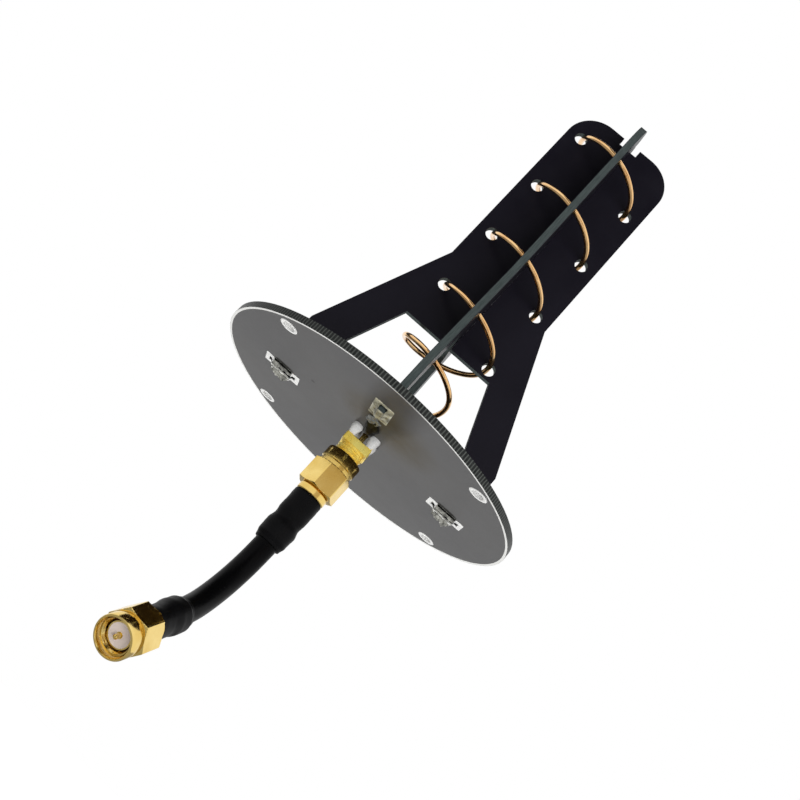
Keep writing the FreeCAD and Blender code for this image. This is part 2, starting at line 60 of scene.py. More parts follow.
def addCamera():
    data = bpy.data.cameras.new("camera")
    data.lens = camera["lens"]
    data.sensor_width = camera["sensor"]
    data.shift_x, data.shift_y = camera["shift"]
    data.clip_start = 10 * mm
    thing = bpy.data.objects.new("camera", data)
    bpy.context.scene.collection.objects.link(thing)
    axes = Matrix((camera["right"], camera["down"], camera["forward"]))
    axes[1].negate()
    axes[2].negate()
    thing.matrix_world = Matrix.Translation(camera["place"]) @ axes.transposed().to_4x4()
    bpy.context.scene.camera = thing


addCamera()

# small helpers for meshes


def addPiece(name, mesh, body="antenna"):
    piece = bpy.data.objects.new(name, mesh)
    bpy.context.scene.collection.objects.link(piece)
    if body:
        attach(piece, body)
    return piece


def closeShape(shape, name):
    bmesh.ops.remove_doubles(shape, verts=shape.verts, dist=0.001 * mm)
    bmesh.ops.recalc_face_normals(shape, faces=shape.faces)
    mesh = bpy.data.meshes.new(name)
    shape.to_mesh(mesh)
    shape.free()
    return mesh


def smooth(mesh, angle=35):
    mesh.shade_smooth()
    mesh.set_sharp_from_angle(angle=math.radians(angle))
    return mesh


def flatRadius(turned, sides, flat):
    # distance from the axis to the side of a polygon whose flats are that far away
    wedge = math.tau / sides
    return flat / math.cos((turned % wedge) - wedge / 2)


def lathe(name, outline, place, steps=96, wobble=None):
    # outline: closed list of (radius, along) turned about Z, or (flat, along, sides, widest)
    shape = bmesh.new()
    rings = []
    for n in range(steps):
        turned = math.tau * n / steps
        ring = []
        for radius, along, *polygon in outline:
            r = radius
            if polygon:
                sides, widest = polygon
                r = min(flatRadius(turned, sides, radius), widest)
            if wobble:
                r += wobble(radius, along, turned)
            point = Vector((r * math.cos(turned), r * math.sin(turned), along))
            ring.append(shape.verts.new(place @ point))
        rings.append(ring)
    for n in range(steps):
        here, there = rings[n], rings[(n + 1) % steps]
        for k in range(len(outline)):
            nextK = (k + 1) % len(outline)
            if outline[k][0] == 0 and outline[nextK][0] == 0:
                continue
            shape.faces.new([here[k], here[nextK], there[nextK], there[k]])
    return closeShape(shape, name)


def eased(points, steps):
    # (along, radius) points joined by soft steps
    line = []
    for (z0, r0), (z1, r1) in zip(points, points[1:]):
        for n in range(steps):
            share = n / steps
            soft = share * share * (3 - 2 * share)
            line.append((r0 + (r1 - r0) * soft, z0 + (z1 - z0) * share))
    line.append((points[-1][1], points[-1][0]))
    return line


def scaled(outline):
    # an outline from mm to metres; the number of a polygon's sides stays
    line = []
    for radius, along, *polygon in outline:
        if polygon:
            sides, widest = polygon
            polygon = [sides, widest * mm]
        line.append((radius * mm, along * mm, *polygon))
    return line


def threadCut(middle, depth, pitch):
    # turns the points at the thread's middle radius into a helical ridge
    def cut(radius, along, turned):
        if abs(radius - middle * mm) > 1e-7:
            return 0
        phase = (along / mm / pitch - turned / math.tau) % 1
        return depth * mm * (1 - 4 * abs(phase - 0.5))

    return cut


def finishedMesh(piece):
    # what the modifiers make, as a plain mesh on the same object
    bpy.context.view_layer.update()
    graph = bpy.context.evaluated_depsgraph_get()
    mesh = bpy.data.meshes.new_from_object(piece.evaluated_get(graph))
    piece.modifiers.clear()
    piece.data = mesh


def startNodes(name, inputs):
    group = bpy.data.node_groups.new(name, "GeometryNodeTree")
    group.interface.new_socket("Geometry", in_out="INPUT", socket_type="NodeSocketGeometry")
    for label, kind in inputs:
        group.interface.new_socket(label, in_out="INPUT", socket_type="NodeSocket" + kind)
    group.interface.new_socket("Geometry", in_out="OUTPUT", socket_type="NodeSocketGeometry")
    return group, group.nodes.new("NodeGroupInput"), group.nodes.new("NodeGroupOutput")


def chain(group, start, *steps):
    # links each node's first output to the named input of the next one
    source = start
    for kind, socket, values, settings in steps:
        node = group.nodes.new(kind)
        for name, value in settings.items():
            setattr(node, name, value)
        for name, value in values.items():
            if hasattr(value, "is_output"):
                group.links.new(value, node.inputs[name])
            else:
                node.inputs[name].default_value = value
        if socket:
            group.links.new(source, node.inputs[socket])
        source = node.outputs[0]
    return source


def runNodes(piece, group, **inputs):
    modifier = piece.modifiers.new(group.name, "NODES")
    modifier.node_group = group
    for item in group.interface.items_tree:
        if item.in_out == "INPUT" and item.name in inputs:
            modifier[item.identifier] = inputs[item.name]
    finishedMesh(piece)


# where the boards, the jack and the two plugs stand, in mm
# each plug has its own frame, with the origin in its nut's mouth and Z back towards the cable

layout = {
    "board": 1.6,
    "jackOffset": -4.0,
    "nearMouth": -8.0,
}
discBack = -layout["board"] * mm
jackCentre = Vector((0, layout["jackOffset"] * mm, 0))
upsideDown = Matrix.Rotation(math.pi, 4, "X")
jackPlace = Matrix.Translation(jackCentre + Vector((0, 0, discBack))) @ upsideDown
nearPlace = Matrix.Translation(jackCentre + Vector((0, 0, layout["nearMouth"] * mm))) @ upsideDown
spin = frame["joints"][0]
cableward = -Vector(spin["axis"]).normalized()
farTurn = Vector((0, 0, 1)).rotation_difference(cableward).to_matrix().to_4x4()
farPlace = Matrix.Translation(Vector(spin["pos_m"])) @ farTurn

# small helpers for materials


def newMaterial(name, **settings):
    material = bpy.data.materials.new(name)
    material.use_nodes = True
    tree = material.node_tree
    shader = tree.nodes["Principled BSDF"]
    for socket, value in settings.items():
        shader.inputs[socket.replace("_", " ")].default_value = value
    return material, tree, shader


def addNode(tree, kind, inputs=None, **settings):
    node = tree.nodes.new(kind)
    for name, value in settings.items():
        setattr(node, name, value)
    for name, value in (inputs or {}).items():
        node.inputs[name].default_value = value
    return node


def coordinates(tree):
    return addNode(tree, "ShaderNodeTexCoord").outputs["Object"]


def axesOf(tree, vector):
    node = addNode(tree, "ShaderNodeSeparateXYZ")
    tree.links.new(vector, node.inputs["Vector"])
    return node.outputs


def noiseAt(tree, where, scale, detail=3.0, rough=0.5):
    node = addNode(tree, "ShaderNodeTexNoise", {"Scale": scale, "Detail": detail, "Roughness": rough})
    tree.links.new(where, node.inputs["Vector"])
    return node.outputs["Fac"]


def ramp(tree, value, stops):
    node = addNode(tree, "ShaderNodeValToRGB")
    for element, (place, colour) in zip(node.color_ramp.elements, stops):
        element.position = place
        element.color = (*colour, 1)
    tree.links.new(value, node.inputs["Fac"])
    return node.outputs["Color"]


def between(tree, value, fromLow, fromHigh, toLow, toHigh):
    node = addNode(tree, "ShaderNodeMapRange", {
        "From Min": fromLow, "From Max": fromHigh, "To Min": toLow, "To Max": toHigh})
    tree.links.new(value, node.inputs["Value"])
    return node.outputs["Result"]


def blendColours(tree, share, first, second):
    node = addNode(tree, "ShaderNodeMix", data_type="RGBA")
    tree.links.new(share, node.inputs["Factor"])
    for socket, colour in ((node.inputs[6], first), (node.inputs[7], second)):
        if isinstance(colour, tuple):
            socket.default_value = (*colour, 1)
        else:
            tree.links.new(colour, socket)
    return node.outputs[2]


def calculate(tree, operation, first, second=None):
    node = addNode(tree, "ShaderNodeMath", operation=operation)
    for socket, value in zip(node.inputs, (first, second)):
        if value is None:
            continue
        if isinstance(value, (int, float)):
            socket.default_value = value
        else:
            tree.links.new(value, socket)
    return node.outputs[0]


def vectorMath(tree, operation, vector, second):
    node = addNode(tree, "ShaderNodeVectorMath", operation=operation)
    tree.links.new(vector, node.inputs[0])
    node.inputs[1].default_value = second
    return node.outputs


def bump(tree, shader, height, distance, strength):
    node = addNode(tree, "ShaderNodeBump", {"Distance": distance * mm, "Strength": strength})
    tree.links.new(height, node.inputs["Height"])
    tree.links.new(node.outputs["Normal"], shader.inputs["Normal"])


# blades: lacquered faces on a glass-fibre core that shows at the cut edges

bladeLook = {
    "mask": [(0.0055, 0.0048, 0.0088), (0.0085, 0.0076, 0.0128)],
    "core": [(0.040, 0.052, 0.052), (0.075, 0.092, 0.090)],
    "roughness": (0.31, 0.41),
    "edgeRoughness": 0.62,
    "skin": 0.05,               # how deep the lacquer's colour goes at the edges, in mm
    "fibres": 420,
    "fibreStretch": 14,
}


def bladeFinish(name, axis):
    # axis: the one across the board
    material, tree, shader = newMaterial(name, Specular_IOR_Level=0.14)
    where = coordinates(tree)
    depth = calculate(tree, "ABSOLUTE", axesOf(tree, where)[axis])
    isFace = calculate(tree, "GREATER_THAN", depth, (layout["board"] / 2 - bladeLook["skin"]) * mm)
    low, high = bladeLook["mask"]
    mask = ramp(tree, noiseAt(tree, where, 55, 4), [(0.3, low), (0.7, high)])
    stretch = addNode(tree, "ShaderNodeMapping")
    stretch.inputs["Scale"].default_value["XYZ".index(axis)] = bladeLook["fibreStretch"]
    tree.links.new(where, stretch.inputs["Vector"])
    fibres = noiseAt(tree, stretch.outputs["Vector"], bladeLook["fibres"], 3, 0.7)
    low, high = bladeLook["core"]
    core = ramp(tree, fibres, [(0.3, low), (0.7, high)])
    tree.links.new(blendColours(tree, isFace, core, mask), shader.inputs["Base Color"])
    faceRoughness = between(tree, noiseAt(tree, where, 160, 3), 0.3, 0.7, *bladeLook["roughness"])
    atEdge = between(tree, isFace, 0, 1, bladeLook["edgeRoughness"], 0)
    tree.links.new(calculate(tree, "MAXIMUM", faceRoughness, atEdge), shader.inputs["Roughness"])
    bump(tree, shader, noiseAt(tree, where, 900, 2), 0.02, 0.35)
    return material


# disc: grey lacquer with a painted reflection of the gold jack and painted shadows beside the wide blade's
# pads, a tented via, a bare ring at the edge and a sawn rim

discLook = {
    "lacquer": [(0.105, 0.105, 0.107), (0.122, 0.121, 0.120)],
    "roughness": (0.36, 0.46),
    "skin": 0.04,
    # painted reflection: a warm olive-brown patch round the jack, in place of the gold jack's reflection
    "jackReflection": {"place": (3.0, -17.0), "full": 3, "end": 13, "share": 1, "uneven": (0.45, 0.9),
             "colour": (0.075, 0.060, 0.032)},
    # painted shadow: near-black patches beside the wide blade's pads, where the tabs' shadows fall
    "padShadow": {"place": (22.1, -2.5), "half": (2.5, 1.1), "full": 0.3, "end": 1.6, "share": 0.93,
              "colour": (0.010, 0.010, 0.008)},
    "via": {"place": (-15.0, -7.6), "full": 0.35, "end": 0.6, "share": 0.6, "colour": (0.035, 0.035, 0.036)},
    "ring": {"inside": 36.45, "outside": 36.97, "colour": (0.74, 0.74, 0.72)},
    "resin": [(0.010, 0.011, 0.011), (0.026, 0.028, 0.027)],
    "bundles": {"count": 318, "drift": 1.1, "from": 0.25, "to": 0.8, "share": 0.75,
                "colour": (0.10, 0.108, 0.10)},
    # painted reflection: the colour that glossy rays see on the disc, almost black
    "paintedDarkReflection": (0.012, 0.007, 0.003),
}


def spotShare(tree, where, spot):
    # the spot's full share at its middle on the disc's back, and nothing past its end
    x, y = spot["place"]
    reach = vectorMath(tree, "DISTANCE", where, (x * mm, y * mm, discBack))["Value"]
    return between(tree, reach, spot["full"] * mm, spot["end"] * mm, spot["share"], 0)


def lacquerWithPaintedLight(tree, where, reach):
    low, high = discLook["lacquer"]
    lacquer = ramp(tree, noiseAt(tree, where, 30, 4), [(0.3, low), (0.7, high)])
    # painted reflection: a warm olive-brown patch on the lacquer round the jack stands in for the gold jack's
    # reflection
    jackReflection = discLook["jackReflection"]
    uneven = between(tree, noiseAt(tree, where, 190, 4), 0.3, 0.7, *jackReflection["uneven"])
    share = calculate(tree, "MULTIPLY", spotShare(tree, where, jackReflection), uneven)
    marksAndPaintedLight = blendColours(tree, share, lacquer, jackReflection["colour"])
    # painted shadow: near-black patches beside the wide blade's two pads, where the tabs' shadows fall
    padShadow = discLook["padShadow"]
    x, y = padShadow["place"]
    halfX, halfY = padShadow["half"]
    axes = axesOf(tree, where)
    off = calculate(tree, "SUBTRACT", calculate(tree, "ABSOLUTE", axes["X"]), x * mm)
    along = calculate(tree, "ABSOLUTE", calculate(tree, "DIVIDE", off, halfX * mm))
    aside = calculate(tree, "DIVIDE", calculate(tree, "SUBTRACT", axes["Y"], y * mm), halfY * mm)
    spread = calculate(tree, "ADD", calculate(tree, "POWER", along, 4),
                       calculate(tree, "MULTIPLY", aside, aside))
    share = between(tree, spread, padShadow["full"], padShadow["end"], padShadow["share"], 0)
    marksAndPaintedLight = blendColours(tree, share, marksAndPaintedLight, padShadow["colour"])
    # a tented via, and the bare ring that the router leaves at the very edge
    via, ring = discLook["via"], discLook["ring"]
    marksAndPaintedLight = blendColours(tree, spotShare(tree, where, via), marksAndPaintedLight, via["colour"])
    isRing = calculate(tree, "GREATER_THAN", reach, ring["inside"] * mm)
    return blendColours(tree, isRing, marksAndPaintedLight, ring["colour"])


def sawnRim(tree, where):
    # light glass bundles stand in a dark resin
    axes = axesOf(tree, where)
    bundles = discLook["bundles"]
    angle = calculate(tree, "ARCTAN2", axes["Y"], axes["X"])
    drift = between(tree, noiseAt(tree, where, 260, 2), 0, 1, -bundles["drift"], bundles["drift"])
    phase = calculate(tree, "ADD", calculate(tree, "MULTIPLY", angle, bundles["count"]), drift)
    share = between(tree, calculate(tree, "SINE", phase), bundles["from"], bundles["to"], 0, bundles["share"])
    low, high = discLook["resin"]
    resin = ramp(tree, noiseAt(tree, where, 700, 3, 0.7), [(0.3, low), (0.7, high)])
    return blendColours(tree, share, resin, bundles["colour"])


def discFinish():
    material, tree, shader = newMaterial("discLacquer", Specular_IOR_Level=0.10)
    where = coordinates(tree)
    flat = vectorMath(tree, "MULTIPLY", where, (1, 1, 0))["Vector"]
    reach = vectorMath(tree, "LENGTH", flat, (0, 0, 0))["Value"]
    half = layout["board"] / 2
    offset = calculate(tree, "ABSOLUTE", calculate(tree, "ADD", axesOf(tree, where)["Z"], half * mm))
    isFace = calculate(tree, "GREATER_THAN", offset, (half - discLook["skin"]) * mm)
    isInside = calculate(tree, "LESS_THAN", reach, discLook["ring"]["outside"] * mm)
    isFace = calculate(tree, "MULTIPLY", isFace, isInside)
    whole = blendColours(tree, isFace, sawnRim(tree, where), lacquerWithPaintedLight(tree, where, reach))
    # painted reflection: the gold mirrors the disc, and glossy rays see the disc as almost black, the way the
    # plugs show it
    isMirrored = addNode(tree, "ShaderNodeLightPath").outputs["Is Glossy Ray"]
    seen = blendColours(tree, isMirrored, whole, discLook["paintedDarkReflection"])
    tree.links.new(seen, shader.inputs["Base Color"])
    smudge = noiseAt(tree, where, 120, 3)
    tree.links.new(between(tree, smudge, 0.3, 0.7, *discLook["roughness"]), shader.inputs["Roughness"])
    bump(tree, shader, noiseAt(tree, where, 800, 2), 0.02, 0.3)
    return material


# metallic finishes, and plain ones such as rubber, flux and dull solder
# grain: (scale, depth in mm) of the fine bumps


def metalFinish(name, low, high, roughness, cloud, grain, coat=0.0, metallic=1.0):
    material, tree, shader = newMaterial(name, Metallic=metallic, Coat_Weight=coat)
    where = coordinates(tree)
    tone = ramp(tree, noiseAt(tree, where, cloud, 4), [(0.32, low), (0.68, high)])
    tree.links.new(tone, shader.inputs["Base Color"])
    smudge = noiseAt(tree, where, cloud * 2.2, 4)
    tree.links.new(between(tree, smudge, 0.3, 0.7, *roughness), shader.inputs["Roughness"])
    scale, depth = grain
    bump(tree, shader, noiseAt(tree, where, scale, 3), depth, 0.4)
    return material


def softFinish(name, low, high, roughness, cloud, grain, gloss=0.5):
    material, tree, shader = newMaterial(name, Specular_IOR_Level=gloss)
    where = coordinates(tree)
    tone = ramp(tree, noiseAt(tree, where, cloud, 4), [(0.3, low), (0.7, high)])
    tree.links.new(tone, shader.inputs["Base Color"])
    smudge = noiseAt(tree, where, cloud * 3, 3)
    tree.links.new(between(tree, smudge, 0.3, 0.7, *roughness), shader.inputs["Roughness"])
    scale, depth = grain
    bump(tree, shader, noiseAt(tree, where, scale, 3), depth, 0.5)
    return material


finishes = {
    "disc": discFinish(),
    "wideBlade": bladeFinish("wideBladeLacquer", "Y"),
    "crossBlade": bladeFinish("crossBladeLacquer", "X"),
    "copper": metalFinish("copperWire", (0.80, 0.44, 0.17), (0.97, 0.64, 0.30),
                          roughness=(0.10, 0.20), cloud=260, grain=(900, 0.015), coat=0.5),
    "gold": metalFinish("goldPlate", (0.77, 0.53, 0.14), (0.91, 0.69, 0.25),
                        roughness=(0.12, 0.20), cloud=210, grain=(1500, 0.004)),
    # painted light: the jack's gold is a brighter, half-diffuse copy of the plugs' gold so that its flange
    # reads as lit
    "litJackGold": metalFinish("litJackGoldCopy", (0.98, 0.66, 0.08), (1.0, 0.84, 0.22),
                            roughness=(0.22, 0.34), cloud=300, grain=(1500, 0.004), metallic=0.3),
    "solder": metalFinish("solder", (0.55, 0.55, 0.54), (0.86, 0.86, 0.84),
                          roughness=(0.25, 0.42), cloud=500, grain=(1400, 0.05)),
    "spring": metalFinish("springBronze", (0.55, 0.36, 0.20), (0.70, 0.50, 0.30),
                          roughness=(0.25, 0.4), cloud=300, grain=(900, 0.02)),
    "tinned": softFinish("tinnedPad", (0.76, 0.76, 0.75), (0.97, 0.97, 0.95),
                         roughness=(0.2, 0.35), cloud=600, grain=(1500, 0.05), gloss=1.0),
    "smeared": softFinish("smearedSolder", (0.015, 0.016, 0.012), (0.66, 0.66, 0.60),
                          roughness=(0.25, 0.45), cloud=950, grain=(1300, 0.1)),
    "fluxed": softFinish("fluxedSolder", (0.07, 0.06, 0.02), (1.0, 0.97, 0.74),
                         roughness=(0.25, 0.4), cloud=620, grain=(1300, 0.08)),
    "jackLumps": softFinish("greySmear", (0.030, 0.036, 0.032), (0.34, 0.36, 0.34),
                          roughness=(0.2, 0.4), cloud=420, grain=(900, 0.06)),
    # painted shade: near-black where shade and shadows fall, round the slot ends, beside the tabs and under
    # the jack's flange
    "paintedShade": softFinish("paintedShadeBlack", (0.0015, 0.0016, 0.0013), (0.006, 0.006, 0.005),
                        roughness=(0.3, 0.5), cloud=700, grain=(1300, 0.05), gloss=0.06),
    "insulator": softFinish("whiteInsulator", (0.82, 0.71, 0.67), (0.90, 0.80, 0.76),
                            roughness=(0.38, 0.5), cloud=300, grain=(1200, 0.02)),
    "gasket": softFinish("gasketRubber", (0.20, 0.05, 0.02), (0.28, 0.08, 0.04),
                         roughness=(0.5, 0.65), cloud=300, grain=(900, 0.03)),
    "jacket": softFinish("cableJacket", (0.0012, 0.0012, 0.0014), (0.0024, 0.0024, 0.0027),
                         roughness=(0.28, 0.38), cloud=120, grain=(700, 0.03), gloss=0.05),
    "sleeve": softFinish("sleeveRubber", (0.0018, 0.0018, 0.0021), (0.0042, 0.0042, 0.0047),
                         roughness=(0.36, 0.48), cloud=150, grain=(1100, 0.03), gloss=0.07),
}
print("materials made:", len(finishes))


def onBothPlugs(*pieces):
    return [side + piece for side in ("near_", "far_") for piece in pieces]


nodeFinishes = {
    "disc": ["ground_plane"],
    "wideBlade": ["wide_plate"],
    "crossBlade": ["cross_plate"],
    "copper": ["helix_wire"],
    "gold": ["jack_body", "jack_contact", *onBothPlugs("coupling_nut", "plug_body", "centre_pin", "ferrule")],
    "solder": ["feed_solder"] + [kind + "_solder_%d" % n for kind in ("tab", "leg") for n in (1, 2, 3, 4)],
    "spring": onBothPlugs("retaining_ring"),
    "insulator": ["jack_insulator", *onBothPlugs("insulator", "cable_core")],
    "gasket": onBothPlugs("gasket"),
    "jacket": ["cable"],
    "sleeve": onBothPlugs("heat_shrink"),
}
for finish, names in nodeFinishes.items():
    for name in names:
        nodes[name].data.materials.clear()
        nodes[name].data.materials.append(finishes[finish])

# helix wire: a corner every 45 degrees as on the CAD wire, then the lead down to the feed

wire = {
    "radius": 9.39,
    "thickness": 1.2,
    "sides": 20,
    "pitch": 16.72,
    "top": 86.98,
    "step": 45,
    "lastHole": 1260,           # degrees from the tip
    "turnEnd": 1642.5,
    "freePitch": 13.0,
    "freeInset": 1.0,
    "cutBack": 0.22,            # the cut end stops just past its hole
    "lead": [(30, 0.88, 0.31), (51, 0.57, 0.59), (64, 0.19, 0.78)],     # degrees on, inward, fall
    "above": (0, -2.2, 6.04),
    "feed": (0, layout["jackOffset"], 1.0),
    "feedRise": 3.12,
    "spacing": 0.55,
    "wander": 0.05,             # how far a hand-wound wire strays
    "wanderScale": 90,
    "seed": 4.0,
}


def wireCorners():
    step = wire["step"]
    corners = []
    angle = -step / 2
    while angle <= wire["turnEnd"]:
        past = max(0, angle - wire["lastHole"])
        drop = (wire["pitch"] * (angle - past) + wire["freePitch"] * past) / 360
        inset = wire["freeInset"] * min(1, past / 180)
        radius = (wire["radius"] - inset) / math.cos(math.radians(step / 2))
        turned = math.radians(angle)
        corners.append(Vector((-radius * math.cos(turned), -radius * math.sin(turned), wire["top"] - drop)))
        angle += step
    corners[0] = corners[0].lerp(corners[1], wire["cutBack"])
    end = corners[-1]
    above = Vector(wire["above"])
    feed = Vector(wire["feed"])
    for degrees, inward, fall in wire["lead"]:
        point = Matrix.Rotation(math.radians(degrees), 3, "Z") @ Vector((end.x, end.y, 0)) * inward
        point.z = end.z + (above.z - end.z) * fall
        corners.append(point)
    return corners + [above, feed + Vector((0, 0, wire["feedRise"])), feed]


def splineCurve(name, points):
    curve = bpy.data.curves.new(name, "CURVE")
    curve.dimensions = "3D"
    spline = curve.splines.new("NURBS")
    spline.points.add(len(points) - 1)
    for point, place in zip(spline.points, points):
        point.co = (*place, 1)
    spline.order_u = 3
    spline.use_endpoint_u = True
    spline.resolution_u = 16
    return curve


def lineOf(curve):
    # the points along a spline, from its own mesh with no thickness
    thing = bpy.data.objects.new("line", curve)
    line = bpy.data.meshes.new_from_object(thing)
    places = [v.co.copy() for v in line.vertices]
    bpy.data.objects.remove(thing)
    bpy.data.meshes.remove(line)
    return places


def lineMesh(name, places):
    mesh = bpy.data.meshes.new(name)
    mesh.from_pydata(places, [(n, n + 1) for n in range(len(places) - 1)], [])
    return mesh


def wireNodes():
    group, start, end = startNodes("handWoundWire", [
        ("Radius", "Float"), ("Spacing", "Float"), ("Wander", "Float"), ("Seed", "Float"),
        ("Finish", "Material")])
    noiseNode = group.nodes.new("ShaderNodeTexNoise")
    noiseNode.noise_dimensions = "4D"
    noiseNode.inputs["Scale"].default_value = wire["wanderScale"]
    group.links.new(start.outputs["Seed"], noiseNode.inputs["W"])
    centred = vectorMath(group, "SUBTRACT", noiseNode.outputs["Color"], (0.5, 0.5, 0.5))["Vector"]
    section = chain(group, None, ("GeometryNodeCurvePrimitiveCircle", None,
                                  {"Resolution": wire["sides"], "Radius": start.outputs["Radius"]}, {}))
    offset = chain(group, centred, ("ShaderNodeVectorMath", "Vector", {"Scale": start.outputs["Wander"]},
                                    {"operation": "SCALE"}))
    made = chain(
        group, start.outputs["Geometry"],
        ("GeometryNodeMeshToCurve", "Mesh", {}, {}),
        ("GeometryNodeResampleCurve", "Curve", {"Length": start.outputs["Spacing"]}, {"mode": "LENGTH"}),
        ("GeometryNodeSetPosition", "Geometry", {"Offset": offset}, {}),
        ("GeometryNodeCurveToMesh", "Curve", {"Profile Curve": section, "Fill Caps": True}, {}),
        ("GeometryNodeRealizeInstances", "Geometry", {}, {}),
        ("GeometryNodeSetMaterial", "Geometry", {"Material": start.outputs["Finish"]}, {}))
    group.links.new(made, end.inputs["Geometry"])
    return group


def addWire():
    line = lineOf(splineCurve("wireLine", [corner * mm for corner in wireCorners()]))
    piece = addPiece("wound_wire", lineMesh("wound_wire", line))
    runNodes(piece, wireNodes(), Radius=wire["thickness"] / 2 * mm, Spacing=wire["spacing"] * mm,
             Wander=wire["wander"] * mm, Seed=wire["seed"], Finish=finishes["copper"])
    smooth(piece.data, 50)
    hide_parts("helix_wire")


addWire()
print("wire wound")

# tinned rings round the four mounting holes, on both faces, and the plated walls of the holes

mountPads = {"place": 23.75, "hole": 2.7, "outside": 4.2, "thickness": 0.05, "plating": 0.04, "sides": 64}


def padNodes():
    group, start, end = startNodes("tinnedRings", [
        ("Radius", "Float"), ("Width", "Float"), ("Thickness", "Float"), ("Finish", "Material")])
    sizes = {"Width": start.outputs["Width"], "Height": start.outputs["Thickness"]}
    section = chain(group, None, ("GeometryNodeCurvePrimitiveQuadrilateral", None, sizes, {}))
    sizes = {"Resolution": mountPads["sides"], "Radius": start.outputs["Radius"]}
    ring = chain(
        group, None,
        ("GeometryNodeCurvePrimitiveCircle", None, sizes, {}),
        ("GeometryNodeCurveToMesh", "Curve", {"Profile Curve": section}, {}))
    made = chain(
        group, start.outputs["Geometry"],
        ("GeometryNodeInstanceOnPoints", "Points", {"Instance": ring}, {}),
        ("GeometryNodeRealizeInstances", "Geometry", {}, {}),
        ("GeometryNodeSetMaterial", "Geometry", {"Material": start.outputs["Finish"]}, {}))
    group.links.new(made, end.inputs["Geometry"])
    return group


def addTinnedRings(name, heights, inside, outside, thickness):
    # one ring at each height on each of the four holes
    place = mountPads["place"]
    spots = [Vector((x * place, y * place, z)) * mm for x in (-1, 1) for y in (-1, 1) for z in heights]
    mesh = bpy.data.meshes.new(name)
    mesh.from_pydata(spots, [], [])
    piece = addPiece(name, mesh)
    runNodes(piece, padNodes(), Radius=(inside + outside) / 4 * mm, Width=(outside - inside) / 2 * mm,
             Thickness=thickness * mm, Finish=finishes["tinned"])


def addMountPads():
    board, hole, thickness = layout["board"], mountPads["hole"], mountPads["thickness"]
    faces = (thickness / 2, -board - thickness / 2)
    addTinnedRings("mount_pads", faces, hole, mountPads["outside"], thickness)
    addTinnedRings("mount_barrels", (-board / 2,), hole - 2 * mountPads["plating"], hole, board)


addMountPads()
print("mounting holes tinned")

# tinned pads with the solder that holds the blades' tabs

tabPads = {
    "place": 22.3,              # from the disc's centre
    "half": (4.5, 2.3),         # half sizes here, and for the slot and the tab
    "corner": 0.3,
    "slot": (3.1, 0.9),
    "tab": (2.5, 0.8),
    "rings": 10,
    "around": 132,
    "foot": 0.05,               # thinnest solder, at the pad's edge
    "edgeFade": 0.35,
    "endFade": 0.5,
    "endFilm": 0.03,            # past the tab's ends
    "smear": 0.16,
    "fillet": {"height": 0.62, "fade": 0.42},
    "heap": {"height": 1.3, "across": 1.5, "width": 0.75, "half": 2.6},
    "cap": {"half": (2.46, 0.77), "height": 0.8, "sunk": 0.05, "film": 0.05, "border": 0.2, "bare": 0.2},
    "paintedShade": (3.55, 0.85),      # painted shade at the slot's ends, where the holes are, half sizes
    "shadowFrom": 1.65,           # and painted shadow along one edge of the wide blade's pads
    "finishes": {4: ("fluxed", "fluxed", "paintedShade")},     # the pad beside the jack took flux from it
}


def roundedLoop(halfX, halfY, corner, count):
    # points at even steps round a rectangle with round corners
    line = []
    for signX, signY, first in ((1, 1, 0), (-1, 1, 90), (-1, -1, 180), (1, -1, 270)):
        for n in range(9):
            turned = math.radians(first + 90 * n / 8)
            line.append(Vector((signX * (halfX - corner) + corner * math.cos(turned),
                                signY * (halfY - corner) + corner * math.sin(turned))))
    line.insert(0, Vector((halfX, 0)))
    line.append(line[0])
    lengths = [0]
    for a, b in zip(line, line[1:]):
        lengths.append(lengths[-1] + (b - a).length)
    points = []
    k = 0
    for n in range(count):
        wanted = lengths[-1] * n / count
        while lengths[k + 1] < wanted:
            k += 1
        share = (wanted - lengths[k]) / max(lengths[k + 1] - lengths[k], 1e-9)
        points.append(line[k].lerp(line[k + 1], share))
    return points


def solderHeight(u, v, edge, seed, heapSide):
    # how far the solder stands off the disc at a place on the pad; one side may carry a heap
    tabX, tabY = tabPads["tab"]
    atEnd = min(1, max(0, (abs(u) - tabX + 0.1) / tabPads["endFade"]))
    rough = noise.noise(Vector((u * 1.3, v * 1.9, seed)))
    fine = noise.noise(Vector((u * 3.6, v * 3.9, seed + 5)))
    fillet = tabPads["fillet"]
    rise = fillet["height"] * math.exp(-max(0, abs(v) - tabY) / fillet["fade"]) * (0.75 + 0.5 * rough)
    smear = tabPads["smear"] + 0.12 * rough + 0.08 * fine
    end = tabPads["endFilm"] + 0.04 * rough
    height = end * atEnd + (rise + smear) * (1 - atEnd)
    if v * heapSide > 0:
        heap = tabPads["heap"]
        across = math.exp(-((abs(v) - heap["across"]) / heap["width"]) ** 2)
        along = max(0, 1 - (u / heap["half"]) ** 4)
        height += heap["height"] * across * along * (0.9 + 0.5 * rough + 0.3 * fine)
    return tabPads["foot"] + max(0, height) * min(1, edge / tabPads["edgeFade"])


